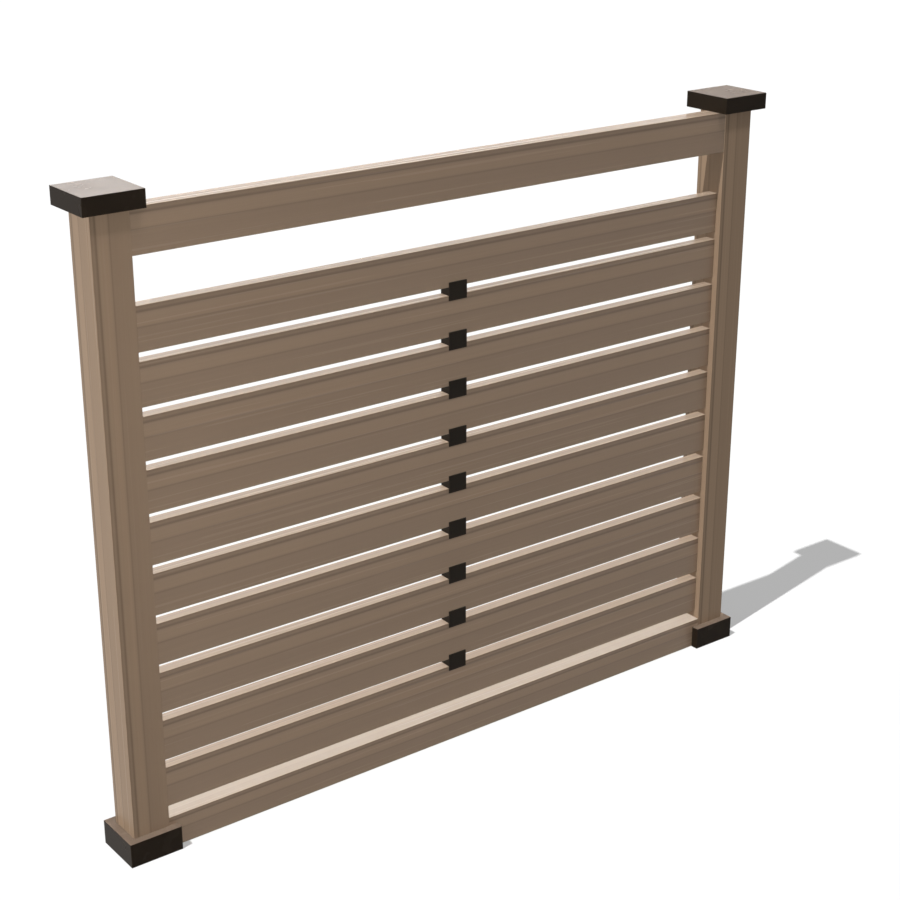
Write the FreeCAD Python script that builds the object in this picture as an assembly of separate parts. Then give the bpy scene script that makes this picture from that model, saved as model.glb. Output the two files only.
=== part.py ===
"""Garden privacy screen: ten hollow slats and two rails between two hollow square posts.

Millimetres. +X runs along the screen to the viewer's right, +Y to the back, +Z up.
The origin is on the floor, midway between the posts, on the centre plane of the posts.
Every board ends in a tenon that stands in a square mortise in the inner face of each post.
"""
import FreeCAD, Part
import os

Vector = FreeCAD.Vector
ALONG_X = Vector(1, 0, 0)
ALONG_Z = Vector(0, 0, 1)
SIDES = {"left": -1, "right": 1}

# Posts: square hollow extrusions
post_side = 89.0
post_wall = 3.8
post_corner = 1.0
clear_span = 1652.0

# Boards, set back from the fronts of the posts, with one common back plane
board_back = 1.2
board_corner = 0.8
mortise_clearance = 0.4
tenon_tube_gap = 4.35

# Rails: thick hollow boards at the top and the bottom
rail_thick = 45.0
rail_wall = 2.5
rail_rib = 2.0
rail_rib_count = 1
top_rail_height = 99.3
bottom_rail_height = 77.5
floor_gap = 0.5

# Slats: thinner hollow boards with even gaps, and a wide gap under the top rail
slat_count = 10
slat_height = 99.3
slat_thick = 29.5
slat_wall = 2.0
slat_rib = 1.6
slat_rib_count = 2
slat_gap = 19.95
view_gap = 108.2

# Stiffeners: galvanised steel channels inside the rails
stiffener_height = 25.0
stiffener_sheet = 1.6
stiffener_clearance = 0.5
stiffener_setback = 5.0

# Spacers: moulded H pieces that tie the slats together at mid-span
spacer_width = 51.0
spacer_lap = 11.9
spacer_flange = 2.5
spacer_back_inset = 2.5
spacer_wall = 2.5
spacer_corner = 0.6
spacer_clearance = 0.1

# Caps: hollow square mouldings with a collar round the top of the post
cap_side = 139.0
cap_height = 39.5
cap_wall = 3.0
cap_corner = 0.8
cap_edge = 0.7
cap_rim_clearance = 0.4
collar_depth = 28.0
collar_wall = 2.5
collar_clearance = 0.3
collar_rib = 2.0
collar_rib_offset = 25.0

# Base trims: square skirts round the foot of each post, notched for the bottom rail
trim_side = 129.0
trim_height = 59.0
trim_wall = 3.0
trim_corner = 0.8
trim_edge = 0.7
trim_clearance = 0.5

# Base mounts: a steel floor plate with a welded tube that stands inside the post
plate_thick = 6.0
plate_margin = 2.5
plate_corner = 6.0
plate_rail_clearance = 0.5
bolt_edge = 7.0
bolt_hole_radius = 4.5
tube_radius = 24.15
tube_wall = 3.0
tube_projection = 25.0
weld_leg = 4.0

# Guides: moulded square frames that centre the tube in the post, each above so many slats
guide_clearance = 0.3
guide_bore_clearance = 0.1
guide_end_gap = 2.0
guide_wall = 3.0
guide_web = 2.5
lower_guide_slat_count = 0
upper_guide_slat_count = 4

# Heights and planes that the pieces share
slat_pitch = slat_height + slat_gap
bottom_rail_top = floor_gap + bottom_rail_height
top_slat_top = bottom_rail_top + slat_count * slat_pitch
top_rail_bottom = top_slat_top + view_gap
top_rail_top = top_rail_bottom + top_rail_height
cap_bottom = top_rail_top + cap_rim_clearance
cap_top = cap_bottom + cap_height
post_top = cap_top - cap_wall
rail_front = board_back - rail_thick
slat_front = board_back - slat_thick
post_centre = clear_span / 2 + post_side / 2
post_bore = post_side - 2 * post_wall
tenon = post_side / 2 - tube_radius - tenon_tube_gap
board_end = clear_span / 2 + tenon
plate_side = trim_side - 2 * trim_wall - 2 * plate_margin
plate_inner_edge = post_centre - plate_side / 2


def bar(corner, opposite, along=ALONG_Z, radius=0.0):
    """Return the box between two opposite corners, its four edges along one axis rounded."""
    low = Vector(*map(min, corner, opposite))
    high = Vector(*map(max, corner, opposite))
    size = high - low
    solid = Part.makeBox(size.x, size.y, size.z, low)
    if radius > 0:
        parallel = [e for e in solid.Edges if abs(e.tangentAt(e.FirstParameter).dot(along)) > 0.99]
        solid = solid.makeFillet(radius, parallel)
    return solid


def square_block(centre_x, side, bottom, top, radius=0.0):
    """Return an upright square block round the centre line of a post."""
    half = side / 2
    corner = (centre_x - half, -half, bottom)
    opposite = (centre_x + half, half, top)
    return bar(corner, opposite, ALONG_Z, radius)


def round_top(solid, radius):
    """Round the edges of the highest face of a block."""
    top_face = max(solid.Faces, key=lambda face: face.CenterOfMass.z)
    return solid.makeFillet(radius, top_face.Edges)


def boards():
    """List each board's name with its front plane, bottom and top, from the floor up."""
    rows = [("bottom_rail", rail_front, floor_gap, bottom_rail_top)]
    for number in range(slat_count, 0, -1):
        top = top_slat_top - (number - 1) * slat_pitch
        rows.append((f"slat_{number:02d}", slat_front, top - slat_height, top))
    rows.append(("top_rail", rail_front, top_rail_bottom, top_rail_top))
    return rows


def hollow_board(front, bottom, top, wall, rib, rib_count):
    """Extrude a board from post to post, with flat ribs between its hollow chambers."""
    board = bar((-board_end, front, bottom), (board_end, board_back, top), ALONG_X, board_corner)
    chamber = (top - bottom - 2 * wall - rib_count * rib) / (rib_count + 1)
    for index in range(rib_count + 1):
        low = bottom + wall + index * (chamber + rib)
        hollow = bar((-board_end, front + wall, low), (board_end, board_back - wall, low + chamber))
        board = board.cut(hollow)
    return board


def rail(bottom, top):
    """Make a rail, its ends notched to clear the front walls of the posts and the floor plates."""
    board = hollow_board(rail_front, bottom, top, rail_wall, rail_rib, rail_rib_count)
    for side in SIDES.values():
        behind_post_wall = bar(
            (side * clear_span / 2, rail_front, bottom),
            (side * board_end, mortise_clearance - post_bore / 2, top),
        )
        board = board.cut(behind_post_wall)
        if bottom < plate_thick:
            over_plate = bar(
                (side * (plate_inner_edge - plate_rail_clearance), rail_front, bottom),
                (side * board_end, board_back, plate_thick),
            )
            board = board.cut(over_plate)
    return board


def stiffener(bottom):
    """Make the steel channel that lies open side up in the lower chamber of a rail."""
    reach = plate_inner_edge - stiffener_setback
    front = rail_front + rail_wall + stiffener_clearance
    back = board_back - rail_wall - stiffener_clearance
    floor = bottom + rail_wall
    top = floor + stiffener_height
    channel = bar((-reach, front, floor), (reach, back, top))
    trough = bar(
        (-reach, front + stiffener_sheet, floor + stiffener_sheet),
        (reach, back - stiffener_sheet, top),
    )
    return channel.cut(trough)


def spacer(slat_top):
    """Make the H piece in the gap above one slat, with two pockets that open at the back."""
    web_top = slat_top + slat_gap
    front = slat_front - spacer_clearance
    back = board_back + spacer_clearance
    half = spacer_width / 2
    web = bar((-half, front, slat_top), (half, back, web_top))
    front_flange = bar(
        (-half, front - spacer_flange, slat_top - spacer_lap),
        (half, front, web_top + spacer_lap),
        Vector(0, 1, 0),
        spacer_corner,
    )
    back_lap = spacer_lap - spacer_back_inset
    back_flange = bar(
        (spacer_back_inset - half, back, slat_top - back_lap),
        (half - spacer_back_inset, back + spacer_flange, web_top + back_lap),
        Vector(0, 1, 0),
        spacer_corner,
    )
    solid = web.fuse([front_flange, back_flange])
    pocket_edge = half - spacer_back_inset - spacer_wall
    for direction in (-1, 1):
        pocket = bar(
            (direction * spacer_wall / 2, front + spacer_wall, slat_top + spacer_wall),
            (direction * pocket_edge, back + spacer_flange, web_top - spacer_wall),
        )
        solid = solid.cut(pocket)
    return solid.removeSplitter()


def post(side):
    """Make a hollow post with one square mortise for the tenon of each board."""
    centre_x = side * post_centre
    inner_face = side * clear_span / 2
    shell = square_block(centre_x, post_side, plate_thick, post_top, post_corner)
    shell = shell.cut(square_block(centre_x, post_bore, plate_thick, post_top))
    for _, front, bottom, top in boards():
        mortise = bar(
            (inner_face, max(front - mortise_clearance, -post_bore / 2), max(bottom, plate_thick)),
            (inner_face + side * post_wall, board_back + mortise_clearance, top + mortise_clearance),
        )
        shell = shell.cut(mortise)
    return shell


def cap(side):
    """Make a flat cap: a square tray, open below, with a ribbed collar round the post."""
    centre_x = side * post_centre
    inside = cap_side - 2 * cap_wall
    collar_inside = post_side + 2 * collar_clearance
    collar_outside = collar_inside + 2 * collar_wall
    collar_bottom = post_top - collar_depth
    tray = round_top(square_block(centre_x, cap_side, cap_bottom, cap_top, cap_corner), cap_edge)
    tray = tray.cut(square_block(centre_x, inside, cap_bottom, post_top))
    collar = square_block(centre_x, collar_outside, collar_bottom, post_top)
    ribs = [collar]
    for offset in (-collar_rib_offset, collar_rib_offset):
        low = offset - collar_rib / 2
        high = offset + collar_rib / 2
        reach = inside / 2
        ribs.append(bar((centre_x + low, -reach, collar_bottom), (centre_x + high, reach, post_top)))
        ribs.append(bar((centre_x - reach, low, collar_bottom), (centre_x + reach, high, post_top)))
    tray = tray.fuse(ribs)
    tray = tray.cut(square_block(centre_x, collar_inside, collar_bottom, post_top))
    return tray.removeSplitter()


def base_trim(side):
    """Make the skirt round the foot of a post, with a slot where the bottom rail passes."""
    centre_x = side * post_centre
    skirt = round_top(square_block(centre_x, trim_side, 0.0, trim_height, trim_corner), trim_edge)
    inside = trim_side - 2 * trim_wall
    skirt = skirt.cut(square_block(centre_x, inside, 0.0, trim_height - trim_wall))
    opening = post_side + 2 * trim_clearance
    skirt = skirt.cut(square_block(centre_x, opening, 0.0, trim_height))
    slot = bar(
        (centre_x, rail_front - trim_clearance, 0.0),
        (centre_x - side * trim_side, board_back + trim_clearance, trim_height),
    )
    return skirt.cut(slot)


def guide_heights(slats_below):
    """Return the bottom and top of the guide that lies level with the gap above so many slats."""
    bottom = bottom_rail_top + slats_below * slat_pitch + guide_end_gap
    return bottom, bottom + slat_gap - 2 * guide_end_gap


def base_mount(side):
    """Weld an upright tube on a floor plate with four bolt holes at its corners."""
    centre_x = side * post_centre
    foot = Vector(centre_x, 0, plate_thick)
    tube_top = guide_heights(upper_guide_slat_count)[1] + tube_projection
    plate = square_block(centre_x, plate_side, 0.0, plate_thick, plate_corner)
    tube = Part.makeCylinder(tube_radius, tube_top - plate_thick, foot)
    weld = Part.makeCone(tube_radius + weld_leg, tube_radius, weld_leg, foot)
    mount = plate.fuse([tube, weld])
    mount = mount.cut(Part.makeCylinder(tube_radius - tube_wall, tube_top - plate_thick, foot))
    reach = plate_side / 2 - bolt_edge
    for x in (-reach, reach):
        for y in (-reach, reach):
            hole = Part.makeCylinder(bolt_hole_radius, plate_thick, Vector(centre_x + x, y, 0))
            mount = mount.cut(hole)
    return mount.removeSplitter()


def guide(side, slats_below):
    """Make a square frame with a hub round the tube, joined by a web and eight ribs."""
    centre_x = side * post_centre
    bottom, top = guide_heights(slats_below)
    middle = (bottom + top) / 2
    outside = post_bore - 2 * guide_clearance
    bore = tube_radius + guide_bore_clearance
    foot = Vector(centre_x, 0, bottom)
    frame = square_block(centre_x, outside, bottom, top)
    frame = frame.cut(square_block(centre_x, outside - 2 * guide_wall, bottom, top))
    hub = Part.makeCylinder(bore + guide_wall, top - bottom, foot)
    web = square_block(centre_x, outside - guide_wall, middle - guide_web / 2, middle + guide_web / 2)
    reach = outside / 2 - guide_wall / 2
    rib = bar((-reach, -guide_web / 2, bottom), (reach, guide_web / 2, top))
    pieces = [hub, web]
    for angle in (0, 45, 90, 135):
        turned = rib.copy()
        turned.rotate(Vector(0, 0, 0), ALONG_Z, angle)
        turned.translate(Vector(centre_x, 0, 0))
        pieces.append(turned)
    frame = frame.fuse(pieces)
    return frame.cut(Part.makeCylinder(bore, top - bottom, foot)).removeSplitter()


def nodes():
    """Return every piece of the screen by name."""
    made = {}
    for name, front, bottom, top in boards():
        if name.endswith("rail"):
            made[name] = rail(bottom, top)
            made[f"{name}_stiffener"] = stiffener(bottom)
        else:
            made[name] = hollow_board(front, bottom, top, slat_wall, slat_rib, slat_rib_count)
    for number in range(1, slat_count):
        made[f"spacer_{number:02d}"] = spacer(top_slat_top - number * slat_pitch)
    for word, side in SIDES.items():
        made[f"{word}_post"] = post(side)
        made[f"{word}_cap"] = cap(side)
        made[f"{word}_base_trim"] = base_trim(side)
        made[f"{word}_base_mount"] = base_mount(side)
        made[f"{word}_lower_guide"] = guide(side, lower_guide_slat_count)
        made[f"{word}_upper_guide"] = guide(side, upper_guide_slat_count)
    return made


os.makedirs("parts", exist_ok=True)
for node, shape in nodes().items():
    shape.exportStep(f"parts/{node}.step")
    box = shape.BoundBox
    print(
        f"{node:26s} solids {len(shape.Solids)} valid {shape.isValid()}"
        f" volume {shape.Volume / 1000:9.1f} cm3"
        f" size {box.XLength:.1f} x {box.YLength:.1f} x {box.ZLength:.1f}"
    )
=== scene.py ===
"""Garden privacy screen: ten slats and two rails between two capped posts, on a pale floor.

Metres. +X runs along the screen to the viewer's right, +Y to the back, +Z up.
Each section dresses one piece, or one group of like pieces, in the order of assembly.
"""
import math

import bpy
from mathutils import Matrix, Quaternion, Vector


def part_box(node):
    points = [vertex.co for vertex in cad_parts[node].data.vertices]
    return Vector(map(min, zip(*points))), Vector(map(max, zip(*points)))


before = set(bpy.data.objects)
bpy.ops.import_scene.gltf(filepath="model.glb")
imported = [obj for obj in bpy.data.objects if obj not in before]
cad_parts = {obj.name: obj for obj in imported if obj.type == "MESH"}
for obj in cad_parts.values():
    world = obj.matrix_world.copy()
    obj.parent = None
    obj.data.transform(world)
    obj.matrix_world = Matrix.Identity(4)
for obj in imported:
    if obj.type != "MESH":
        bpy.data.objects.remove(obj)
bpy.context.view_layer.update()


# ---------------------------------------------------------------------------------------------
# Base mounts: a floor plate with a welded tube that stands inside each post. They are mild
# steel, blasted and powder coated black, with the slight orange peel that such a coat has.
# ---------------------------------------------------------------------------------------------
MOUNT_COAT = (0.045, 0.044, 0.046)
MOUNT_PEEL_SIZE = 0.0016
MOUNT_PEEL_HEIGHT = 0.00005
MOUNT_ROUGHNESS = 0.42
MOUNT_GLOSS = 0.4
PEEL_DETAIL = 2.0
# How fast a coat's sheen and tone drift over a piece, and how far each goes
DRIFT_SCALE = 14.0
DRIFT_DETAIL = 3.0
SHEEN_DRIFT = 0.05
TONE_DRIFT = 0.07
# Most of a noise lies between these two values
NOISE_LOW = 0.3
NOISE_HIGH = 0.7


def new_material(name):
    """Start a node material, and return it with its tree and its Principled shader."""
    material = bpy.data.materials.new(name)
    material.use_nodes = True
    tree = material.node_tree
    return material, tree, tree.nodes["Principled BSDF"]


def fill(tree, node, inputs):
    """Link or set each of these inputs of a node."""
    for key, value in inputs.items():
        if isinstance(value, bpy.types.NodeSocket):
            tree.links.new(value, node.inputs[key])
        else:
            node.inputs[key].default_value = value


def add(tree, kind, inputs, **settings):
    """Add a node, set its properties, and link or set its inputs."""
    node = tree.nodes.new(kind)
    for key, value in settings.items():
        setattr(node, key, value)
    fill(tree, node, inputs)
    return node


def compute(tree, operation, first, second):
    """Return the result of an arithmetic operation on two values."""
    return add(tree, "ShaderNodeMath", {0: first, 1: second}, operation=operation).outputs[0]


def scaled(tree, vector, factor):
    """Return a point or a colour times a factor."""
    inputs = {0: vector, "Scale": factor}
    return add(tree, "ShaderNodeVectorMath", inputs, operation="SCALE").outputs["Vector"]


def noise(tree, point, scale, detail, roughness=0.5):
    """Return a noise at a point."""
    inputs = {"Vector": point, "Scale": scale, "Detail": detail, "Roughness": roughness}
    return add(tree, "ShaderNodeTexNoise", inputs).outputs["Fac"]


def remap(tree, value, low, high, start=NOISE_LOW, end=NOISE_HIGH):
    """Return the value mapped from start..end to low..high, and held there outside."""
    inputs = {"Value": value, 1: start, 2: end, 3: low, 4: high}
    return add(tree, "ShaderNodeMapRange", inputs).outputs[0]


def new_group(name, inputs, outputs):
    """Start a shader node group with named sockets, and return it with its two end nodes."""
    group = bpy.data.node_groups.new(name, "ShaderNodeTree")
    for direction, sockets in (("INPUT", inputs), ("OUTPUT", outputs)):
        for label, kind in sockets.items():
            group.interface.new_socket(label, in_out=direction, socket_type=f"NodeSocket{kind}")
    return group, group.nodes.new("NodeGroupInput"), group.nodes.new("NodeGroupOutput")


def place(tree, group, inputs):
    """Put a node group into a material with its own values."""
    node = tree.nodes.new("ShaderNodeGroup")
    node.node_tree = group
    fill(tree, node, inputs)
    return node


def dress(material, *names):
    """Give one material to every slot of some CAD nodes."""
    for name in names:
        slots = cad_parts[name].data.materials
        slots.clear()
        slots.append(material)


def coat_group():
    """Moulded or powder-coated skin: rounded noise cells, and a slow drift in sheen and tone."""
    group, start, end = new_group(
        "coat_skin",
        {"Vector": "Vector", "Cell Size": "Float", "Base Roughness": "Float"},
        {"Height": "Float", "Roughness": "Float", "Tone": "Float"},
    )
    point = start.outputs["Vector"]
    density = compute(group, "DIVIDE", 1.0, start.outputs["Cell Size"])
    drift = noise(group, point, DRIFT_SCALE, DRIFT_DETAIL)
    sheen = remap(group, drift, -SHEEN_DRIFT, SHEEN_DRIFT)
    results = {
        "Height": noise(group, point, density, PEEL_DETAIL),
        "Roughness": compute(group, "ADD", sheen, start.outputs["Base Roughness"]),
        "Tone": remap(group, drift, 1 - TONE_DRIFT, 1 + TONE_DRIFT),
    }
    fill(group, end, results)
    return group


coat_skin = coat_group()


def coated(name, colour, cell_size, height, roughness, gloss):
    """Make a plain coated or moulded finish with peel, and slow changes of tone and sheen."""
    material, tree, shader = new_material(name)
    at = add(tree, "ShaderNodeTexCoord", {}).outputs["Object"]
    skin = place(tree, coat_skin, {"Vector": at, "Cell Size": cell_size, "Base Roughness": roughness})
    bump = add(tree, "ShaderNodeBump", {"Height": skin.outputs["Height"], "Distance": height})
    finish = {
        "Base Color": scaled(tree, colour, skin.outputs["Tone"]),
        "Roughness": skin.outputs["Roughness"],
        "Specular IOR Level": gloss,
        "Normal": bump.outputs["Normal"],
    }
    fill(tree, shader, finish)
    return material


coated_steel = coated(
    "coated_steel", MOUNT_COAT, MOUNT_PEEL_SIZE, MOUNT_PEEL_HEIGHT, MOUNT_ROUGHNESS, MOUNT_GLOSS
)
dress(coated_steel, "left_base_mount", "right_base_mount")


# ---------------------------------------------------------------------------------------------
# Guides: moulded square frames that centre each mount's tube in its post. They are black
# nylon, straight from the mould, with its fine spark-eroded texture.
# ---------------------------------------------------------------------------------------------
GUIDE_NYLON = (0.022, 0.019, 0.017)
GUIDE_GRAIN_SIZE = 0.0007
GUIDE_GRAIN_HEIGHT = 0.00004
GUIDE_ROUGHNESS = 0.5
GUIDE_GLOSS = 0.3

moulded_black = coated(
    "moulded_black", GUIDE_NYLON, GUIDE_GRAIN_SIZE, GUIDE_GRAIN_HEIGHT, GUIDE_ROUGHNESS, GUIDE_GLOSS
)
for side in ("left", "right"):
    dress(moulded_black, f"{side}_lower_guide", f"{side}_upper_guide")


# ---------------------------------------------------------------------------------------------
# Posts: square hollow extrusions with a printed wood-tone film all round. The film's print
# runs up the post, and each face carries it once across, with the same streaks.
# ---------------------------------------------------------------------------------------------
FILM_BROWN = (0.237, 0.166, 0.111)
FILM_ROUGHNESS = 0.24
FILM_SHEEN_SPREAD = 0.05
FILM_GLOSS = 0.2
POST_GLOSS = 0.05
FIBRE_WIDTH = 0.0011
FIBRE_LENGTH = 0.16
FIBRE_DETAIL = 4.0
FIBRE_CRISPNESS = 0.6
FIBRE_TONES = (0.98, 1.015)
FIGURE_WIDTH = 0.006
FIGURE_DETAIL = 2.0
FIGURE_TONES = (0.98, 1.02)
# Pores are this many times finer than the fibres, and open where their noise passes the limits
PORE_FINENESS = 2.3
PORE_DETAIL = 1.0
PORE_LIMITS = (0.66, 0.74)
PORE_TONE = 0.92
EMBOSS_HEIGHT = 0.00001
# Places across the face, from 0 to 1, with the print's tone there
FILM_PRINT = (
    (0.00, 0.90),
    (0.03, 0.80),
    (0.055, 0.94),
    (0.085, 0.92),
    (0.112, 0.72),
    (0.135, 0.66),
    (0.158, 0.98),
    (0.185, 1.07),
    (0.40, 1.095),
    (0.445, 1.03),
    (0.462, 0.82),
    (0.478, 0.86),
    (0.50, 0.97),
    (1.00, 1.01),
)
# The ramp holds tones up to 1, so each is kept as a share of this one
FULL_TONE = 1.25


def print_tone(tree, across_share):
    """Return the print's tone at a share of the way across the face, over the full tone."""
    ramp = add(tree, "ShaderNodeValToRGB", {"Fac": across_share})
    stops = ramp.color_ramp.elements
    while len(stops) < len(FILM_PRINT):
        stops.new(0.5)
    for stop, (position, tone) in zip(stops, FILM_PRINT):
        stop.position = position
    for stop, (position, tone) in zip(stops, FILM_PRINT):
        stop.color = (tone / FULL_TONE, tone / FULL_TONE, tone / FULL_TONE, 1)
    return ramp.outputs["Color"]


def film_group():
    """Wood-tone film: a print across the face, stretched noise for fibres and figure, and pores.

    The place across a face is the dot product of the point, from the section's centre, with
    grain axis x face normal, so the print runs round the section as a wrapped film does.
    """
    group, start, end = new_group(
        "wood_tone_film",
        {
            "Point": "Vector",
            "Grain Axis": "Vector",
            "Face Width": "Float",
            "Pattern Point": "Vector",
        },
        {"Tone": "Float", "Height": "Float", "Roughness": "Float"},
    )
    facing = add(group, "ShaderNodeNewGeometry", {}).outputs["True Normal"]
    across_axis = add(
        group,
        "ShaderNodeVectorMath",
        {0: start.outputs["Grain Axis"], 1: facing},
        operation="CROSS_PRODUCT",
    )
    across = add(
        group,
        "ShaderNodeVectorMath",
        {0: start.outputs["Point"], 1: across_axis.outputs["Vector"]},
        operation="DOT_PRODUCT",
    )
    share = compute(group, "DIVIDE", across.outputs["Value"], start.outputs["Face Width"])
    printed = print_tone(group, compute(group, "ADD", share, 0.5))

    pattern = start.outputs["Pattern Point"]
    fibre = noise(group, pattern, 1.0, FIBRE_DETAIL, FIBRE_CRISPNESS)
    figure = noise(group, scaled(group, pattern, FIBRE_WIDTH / FIGURE_WIDTH), 1.0, FIGURE_DETAIL)
    pores = noise(group, scaled(group, pattern, PORE_FINENESS), 1.0, PORE_DETAIL)
    ticks = remap(group, pores, 0.0, 1.0, *PORE_LIMITS)

    tone = compute(group, "MULTIPLY", printed, remap(group, fibre, *FIBRE_TONES))
    tone = compute(group, "MULTIPLY", tone, remap(group, figure, *FIGURE_TONES))
    pore_tone = remap(group, ticks, FULL_TONE, FULL_TONE * PORE_TONE, 0.0, 1.0)
    smoothest = FILM_ROUGHNESS - FILM_SHEEN_SPREAD
    roughest = FILM_ROUGHNESS + FILM_SHEEN_SPREAD
    results = {
        "Tone": compute(group, "MULTIPLY", tone, pore_tone),
        "Height": compute(group, "SUBTRACT", fibre, ticks),
        "Roughness": remap(group, figure, smoothest, roughest),
    }
    fill(group, end, results)
    return group


wood_film = film_group()

# A pale colour mixed into the film where it faces up: a painted highlight that stands in for light on
# the tops
FILM_TOP_HIGHLIGHT = (0.45, 0.42, 0.38, 1)
FILM_TOP_HIGHLIGHT_SHARE = 0.15
# The painted top highlight starts at the first of these upward parts of a face's normal, and is full at
# the second
TOP_HIGHLIGHT_SLOPES = (0.75, 1.0)
TOP_HIGHLIGHT_PATCH_SCALE = 18.0
TOP_HIGHLIGHT_PATCH_DETAIL = 2.0
TOP_HIGHLIGHT_PATCH_SHARES = (0.93, 1.07)


def top_highlight_group():
    """Painted highlight on faces that look up: a share of a pale colour, thinned in patches by noise."""
    group, start, end = new_group(
        "painted_top_highlight", {"Vector": "Vector", "Amount": "Float"}, {"Mask": "Float"}
    )
    facing = add(group, "ShaderNodeNewGeometry", {}).outputs["True Normal"]
    upward = add(group, "ShaderNodeSeparateXYZ", {0: facing}).outputs["Z"]
    level = remap(group, upward, 0.0, 1.0, *TOP_HIGHLIGHT_SLOPES)
    haze = noise(group, start.outputs["Vector"], TOP_HIGHLIGHT_PATCH_SCALE, TOP_HIGHLIGHT_PATCH_DETAIL)
    share = compute(group, "MULTIPLY", level, remap(group, haze, *TOP_HIGHLIGHT_PATCH_SHARES))
    fill(group, end, {"Mask": compute(group, "MULTIPLY", share, start.outputs["Amount"])})
    return group


painted_top_highlight = top_highlight_group()


def with_top_highlight(tree, at, colour, highlight_colour, amount):
    """Return a colour painted paler where the surface looks up, as a painted highlight."""
    top_highlight = place(tree, painted_top_highlight, {"Vector": at, "Amount": amount})
    inputs = {0: top_highlight.outputs["Mask"], 6: colour, 7: highlight_colour}
    return add(tree, "ShaderNodeMix", inputs, data_type="RGBA").outputs[2]


def wood_tone(name, centre, grain_axis, face_width, pitch=None, top_highlight=FILM_TOP_HIGHLIGHT_SHARE, gloss=FILM_GLOSS):
    """Wrap the film round a section with this centre; a pitch repeats it up a stack of boards."""
    material, tree, shader = new_material(name)
    at = add(tree, "ShaderNodeTexCoord", {}).outputs["Object"]
    offset = add(tree, "ShaderNodeVectorMath", {0: at, 1: centre}, operation="SUBTRACT")
    point = offset.outputs["Vector"]
    if pitch is not None:
        parts = add(tree, "ShaderNodeSeparateXYZ", {0: point}).outputs
        wrap = {0: parts["Z"], 1: -pitch / 2, 2: pitch / 2}
        level = add(tree, "ShaderNodeMath", wrap, operation="WRAP").outputs[0]
        joined = {"X": parts["X"], "Y": parts["Y"], "Z": level}
        point = add(tree, "ShaderNodeCombineXYZ", joined).outputs["Vector"]
    stretch = [1 / (FIBRE_LENGTH if axis else FIBRE_WIDTH) for axis in grain_axis]
    pattern = add(tree, "ShaderNodeVectorMath", {0: at, 1: stretch}, operation="MULTIPLY")
    film = place(
        tree,
        wood_film,
        {
            "Point": point,
            "Grain Axis": grain_axis,
            "Face Width": face_width,
            "Pattern Point": pattern.outputs["Vector"],
        },
    )
    tint = scaled(tree, FILM_BROWN, film.outputs["Tone"])
    bump = add(tree, "ShaderNodeBump", {"Height": film.outputs["Height"], "Distance": EMBOSS_HEIGHT})
    finish = {
        # The film's upward faces are painted paler here, a painted highlight
        "Base Color": with_top_highlight(tree, at, tint, FILM_TOP_HIGHLIGHT, top_highlight),
        "Roughness": film.outputs["Roughness"],
        "Specular IOR Level": gloss,
        "Normal": bump.outputs["Normal"],
    }
    fill(tree, shader, finish)
    return material


def middle(name):
    """Return the centre and the size of a CAD node's box."""
    low, high = (Vector(corner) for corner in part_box(name))
    return (low + high) / 2, high - low


for side in ("left", "right"):
    centre, size = middle(f"{side}_post")
    film = wood_tone(f"wood_tone_{side}_post", centre, (0, 0, 1), size.x, gloss=POST_GLOSS)
    dress(film, f"{side}_post")


# ---------------------------------------------------------------------------------------------
# Slats: ten thin hollow boards of the same extruded plastic and film. The print runs along
# the board; on the front it goes from the top edge down, and it wraps round to the back.
# ---------------------------------------------------------------------------------------------
slats = sorted(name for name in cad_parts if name.startswith("slat_"))
centre, size = middle(slats[0])
slat_pitch = centre.z - middle(slats[1])[0].z
dress(wood_tone("wood_tone_slat", centre, (1, 0, 0), size.z, slat_pitch), *slats)


# ---------------------------------------------------------------------------------------------
# Rails: two thicker boards, at the top and just over the floor, with the slats' film. The
# channels inside them are folded from galvanised sheet and show its soft spangle.
# ---------------------------------------------------------------------------------------------
# The bottom rail's top gets a larger share of the painted top highlight, a painted reflection on its
# ledge
BOTTOM_RAIL_TOP_HIGHLIGHT_SHARE = 0.40
ZINC = (0.52, 0.53, 0.55)
SPANGLE_SIZE = 0.009
SPANGLE_TONES = (0.88, 1.08)
SPANGLE_ROUGHNESS = (0.30, 0.48)
SPANGLE_HEIGHT = 0.00003

for rail, top_highlight_share in (("bottom_rail", BOTTOM_RAIL_TOP_HIGHLIGHT_SHARE), ("top_rail", FILM_TOP_HIGHLIGHT_SHARE)):
    centre, size = middle(rail)
    dress(wood_tone(f"wood_tone_{rail}", centre, (1, 0, 0), size.z, top_highlight=top_highlight_share), rail)


def galvanised():
    """Spangled zinc: cells of the crystal size, each with its own grey and sheen."""
    material, tree, shader = new_material("galvanised_steel")
    at = add(tree, "ShaderNodeTexCoord", {}).outputs["Object"]
    cells = add(tree, "ShaderNodeTexVoronoi", {"Vector": at, "Scale": 1 / SPANGLE_SIZE})
    own = add(tree, "ShaderNodeSeparateColor", {0: cells.outputs["Color"]}).outputs
    bump = add(tree, "ShaderNodeBump", {"Height": own["Blue"], "Distance": SPANGLE_HEIGHT})
    finish = {
        "Base Color": scaled(tree, ZINC, remap(tree, own["Red"], *SPANGLE_TONES, 0.0, 1.0)),
        "Metallic": 1.0,
        "Roughness": remap(tree, own["Green"], *SPANGLE_ROUGHNESS, 0.0, 1.0),
        "Normal": bump.outputs["Normal"],
    }
    fill(tree, shader, finish)
    return material


dress(galvanised(), "bottom_rail_stiffener", "top_rail_stiffener")


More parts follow.
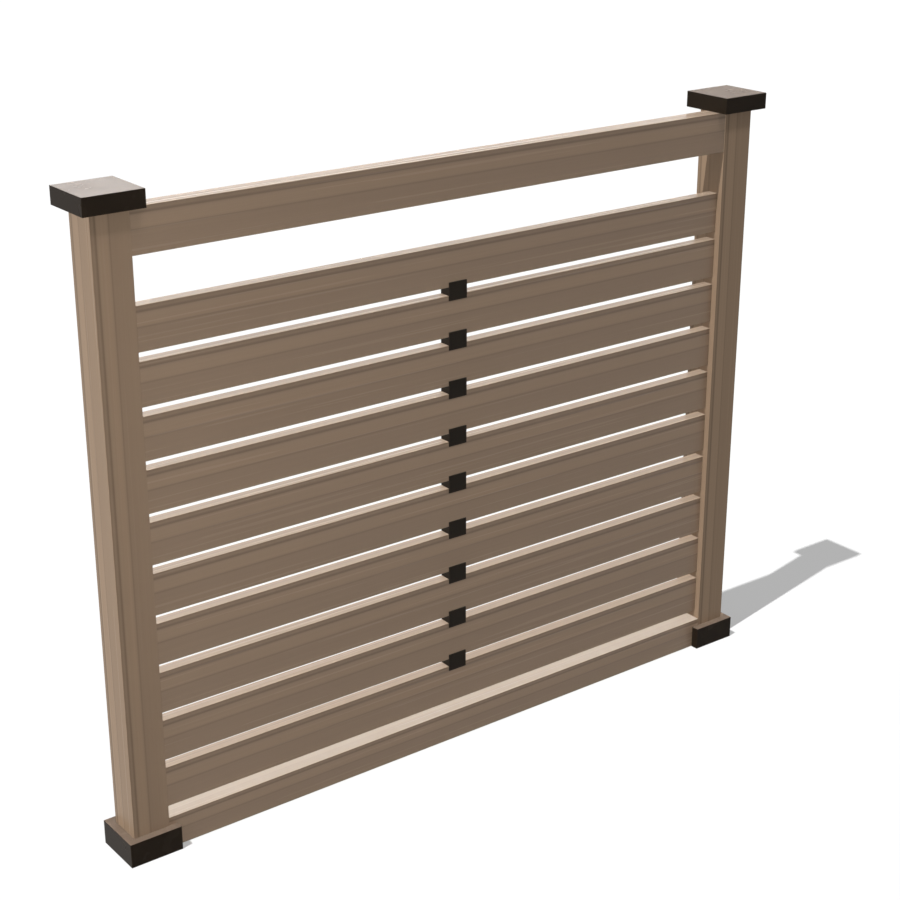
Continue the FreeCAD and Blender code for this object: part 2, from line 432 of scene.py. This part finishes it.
# ---------------------------------------------------------------------------------------------
# Spacers: moulded H pieces that hold the slats apart at mid-span. They are near-black
# plastic, a little smoother than the guides because their fronts show.
# ---------------------------------------------------------------------------------------------
SPACER_PLASTIC = (0.015, 0.0115, 0.0085)
SPACER_GRAIN_SIZE = 0.0009
SPACER_GRAIN_HEIGHT = 0.00004
SPACER_ROUGHNESS = 0.45
SPACER_GLOSS = 0.04

spacers = sorted(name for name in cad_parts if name.startswith("spacer_"))
spacer_finish = coated(
    "spacer_plastic",
    SPACER_PLASTIC,
    SPACER_GRAIN_SIZE,
    SPACER_GRAIN_HEIGHT,
    SPACER_ROUGHNESS,
    SPACER_GLOSS,
)
dress(spacer_finish, *spacers)


# ---------------------------------------------------------------------------------------------
# Caps and base trims: square mouldings that close the top of each post and skirt its foot.
# They are dark brown plastic, and their flat tops are painted a lighter brown, a painted highlight.
# ---------------------------------------------------------------------------------------------
TRIM_BROWN = (0.0165, 0.0115, 0.0075)
TRIM_GRAIN_SIZE = 0.005
TRIM_GRAIN_HEIGHT = 0.000003
TRIM_ROUGHNESS = 0.25
TRIM_GLOSS = 0.03
# A lighter brown mixed into the tops of caps and trims: a painted highlight on faces that look up
TRIM_TOP_HIGHLIGHT = (0.205, 0.149, 0.112, 1)
TRIM_TOP_HIGHLIGHT_SHARE = 0.48


def dark_trim():
    """Dark moulded plastic, painted a lighter brown where the surface faces up as a painted highlight,
    broken up by noise.
    """
    material, tree, shader = new_material("dark_trim")
    at = add(tree, "ShaderNodeTexCoord", {}).outputs["Object"]
    inputs = {"Vector": at, "Cell Size": TRIM_GRAIN_SIZE, "Base Roughness": TRIM_ROUGHNESS}
    skin = place(tree, coat_skin, inputs)
    tint = scaled(tree, TRIM_BROWN, skin.outputs["Tone"])
    bump = add(tree, "ShaderNodeBump", {"Height": skin.outputs["Height"], "Distance": TRIM_GRAIN_HEIGHT})
    finish = {
        # The upward faces are painted lighter here, a painted highlight
        "Base Color": with_top_highlight(tree, at, tint, TRIM_TOP_HIGHLIGHT, TRIM_TOP_HIGHLIGHT_SHARE),
        "Roughness": skin.outputs["Roughness"],
        "Specular IOR Level": TRIM_GLOSS,
        "Normal": bump.outputs["Normal"],
    }
    fill(tree, shader, finish)
    return material


trim_finish = dark_trim()
for side in ("left", "right"):
    dress(trim_finish, f"{side}_cap", f"{side}_base_trim")


# ---------------------------------------------------------------------------------------------
# Studio: a plain pale floor and white surroundings. A key lamp from the upper left throws the
# shadow to the right, and soft lamps in front and behind light the screen alone.
# ---------------------------------------------------------------------------------------------
FLOOR_REACH = 30.0
FLOOR_SEEN = 0.38
FLOOR_LIFT = 0.345
FLOOR_BOUNCE = 0.15
SKY_LEVEL = 0.28
WHITE = (1, 1, 1, 1)


def grey(level):
    """Return an opaque grey."""
    return (level, level, level, 1)


def white_to_the_eye(tree, seen, felt):
    """Mix two shaders: the first for camera, glossy and transmission rays, else the second."""
    path = add(tree, "ShaderNodeLightPath", {}).outputs
    either = compute(tree, "MAXIMUM", path["Is Camera Ray"], path["Is Glossy Ray"])
    either = compute(tree, "MAXIMUM", either, path["Is Transmission Ray"])
    return add(tree, "ShaderNodeMixShader", {0: either, 1: felt, 2: seen}).outputs[0]


world = bpy.data.worlds.new("studio")
world.use_nodes = True
bpy.context.scene.world = world
sky = world.node_tree
sky.nodes.clear()
seen = add(sky, "ShaderNodeBackground", {"Color": WHITE, "Strength": 1.0}).outputs[0]
felt = add(sky, "ShaderNodeBackground", {"Color": WHITE, "Strength": SKY_LEVEL}).outputs[0]
add(sky, "ShaderNodeOutputWorld", {"Surface": white_to_the_eye(sky, seen, felt)})

floor_mesh = bpy.data.meshes.new("floor")
corners = [(x * FLOOR_REACH, y * FLOOR_REACH, 0) for x, y in ((-1, -1), (1, -1), (1, 1), (-1, 1))]
floor_mesh.from_pydata(corners, [], [(0, 1, 2, 3)])
floor = bpy.data.objects.new("floor", floor_mesh)
bpy.context.scene.collection.objects.link(floor)
floor_finish = bpy.data.materials.new("floor")
floor_finish.use_nodes = True
ground = floor_finish.node_tree
ground.nodes.clear()
lit = add(ground, "ShaderNodeBsdfDiffuse", {"Color": grey(FLOOR_SEEN)}).outputs[0]
lift = add(ground, "ShaderNodeEmission", {"Color": WHITE, "Strength": FLOOR_LIFT}).outputs[0]
seen = add(ground, "ShaderNodeAddShader", {0: lit, 1: lift}).outputs[0]
felt = add(ground, "ShaderNodeBsdfDiffuse", {"Color": grey(FLOOR_BOUNCE)}).outputs[0]
add(ground, "ShaderNodeOutputMaterial", {"Surface": white_to_the_eye(ground, seen, felt)})
floor_mesh.materials.append(floor_finish)


def hang(name, data, turn, lights, shadows_from):
    """Hang a lamp, and say which pieces it lights and which ones shade its light."""
    lamp = bpy.data.objects.new(name, data)
    lamp.rotation_euler = turn.to_euler()
    bpy.context.scene.collection.objects.link(lamp)
    for word, members in (("receiver", lights), ("blocker", shadows_from)):
        if members:
            collection = bpy.data.collections.new(f"{name}_{word}s")
            for member in members:
                collection.objects.link(member)
            setattr(lamp.light_linking, f"{word}_collection", collection)
    return lamp


def far_lamp(name, run, strength, lights, shadows_from=None, spread=0.5):
    """Hang a far lamp whose light runs one way, with the spread of its disc in degrees."""
    data = bpy.data.lights.new(name, "SUN")
    data.energy = strength
    data.angle = math.radians(spread)
    hang(name, data, Vector(run).to_track_quat("-Z", "Y"), lights, shadows_from)


def soft_lamp(name, place_at, aim, width, height, power, lights, shadows_from=None, roll=0):
    """Hang a rectangular soft lamp that faces a point, rolled by some degrees."""
    data = bpy.data.lights.new(name, "AREA")
    data.shape = "RECTANGLE"
    data.size = width
    data.size_y = height
    data.energy = power
    turn = (Vector(aim) - Vector(place_at)).to_track_quat("-Z", "Y")
    turn = turn @ Quaternion((0, 0, 1), math.radians(roll))
    lamp = hang(name, data, turn, lights, shadows_from)
    lamp.location = place_at
    lamp.visible_camera = False


# The key's light on the floor, and on the pieces, which it meets a little lower
SHADOW_RUN = (0.4727, 0.1013, -1.0)
KEY_RUN = (0.60, 0.1013, -1.0)
KEY_STRENGTH = 5.4
# Shares of the key that the boards keep off the right post, and the top rail off the rest
BOARD_SHADE = 0.78
TOP_RAIL_SHADE = 0.2
FRONT_RUN = (0, 0.5, -1)
FRONT_STRENGTH = 1.1

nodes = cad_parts
pieces = list(nodes.values())
right_post = [nodes["right_post"]]
top_rail = [nodes["top_rail"]]
caps = [nodes["left_cap"], nodes["right_cap"]]
boards = [piece for name, piece in nodes.items() if name.startswith(("slat", "top_rail", "spacer"))]
others = [piece for name, piece in nodes.items() if name != "right_post"]

far_lamp("key_on_floor", SHADOW_RUN, KEY_STRENGTH, [floor])
far_lamp("key_on_right_post", KEY_RUN, BOARD_SHADE * KEY_STRENGTH, right_post, boards)
far_lamp("key_past_the_boards", KEY_RUN, (1 - BOARD_SHADE) * KEY_STRENGTH, right_post, [floor])
far_lamp("key_on_screen", KEY_RUN, (1 - TOP_RAIL_SHADE) * KEY_STRENGTH, others, [floor])
far_lamp("key_under_top_rail", KEY_RUN, TOP_RAIL_SHADE * KEY_STRENGTH, others, top_rail)
far_lamp("front", FRONT_RUN, FRONT_STRENGTH, pieces, spread=10)
soft_lamp(
    "back",
    place_at=(1.31, 3.60, 4.11),
    aim=(0, 0, 0.9),
    width=3.64,
    height=2.87,
    power=59.0,
    lights=pieces,
    roll=-12,
)
soft_lamp(
    "fill",
    place_at=(-1.9, -1.5, 1.25),
    aim=(-0.6, 0, 0.9),
    width=0.8,
    height=0.8,
    power=13.5,
    lights=pieces,
    shadows_from=[floor],
)
soft_lamp(
    "cap_sheen",
    place_at=(0.41, 2.63, 2.18),
    aim=(-0.87, 0, 1.52),
    width=0.9,
    height=0.9,
    power=5.1,
    lights=caps,
)


# ---------------------------------------------------------------------------------------------
# Camera: a long lens above and to the left of the screen, as in the photograph.
# ---------------------------------------------------------------------------------------------
CAMERA_PLACE = Vector((-2.4312, -3.2077, 2.3210))
CAMERA_AIM = Vector((0.56304, 0.74296, -0.36192))
CAMERA_FOCAL_PIXELS = 1808.24
PHOTO_PIXELS = 900
SENSOR_WIDTH = 36.0

camera_data = bpy.data.cameras.new("camera")
camera_data.sensor_width = SENSOR_WIDTH
camera_data.lens = CAMERA_FOCAL_PIXELS / PHOTO_PIXELS * SENSOR_WIDTH
camera = bpy.data.objects.new("camera", camera_data)
camera.location = CAMERA_PLACE
camera.rotation_euler = CAMERA_AIM.to_track_quat("-Z", "Y").to_euler()
bpy.context.scene.collection.objects.link(camera)
bpy.context.scene.camera = camera
bpy.context.scene.view_settings.view_transform = "Standard"
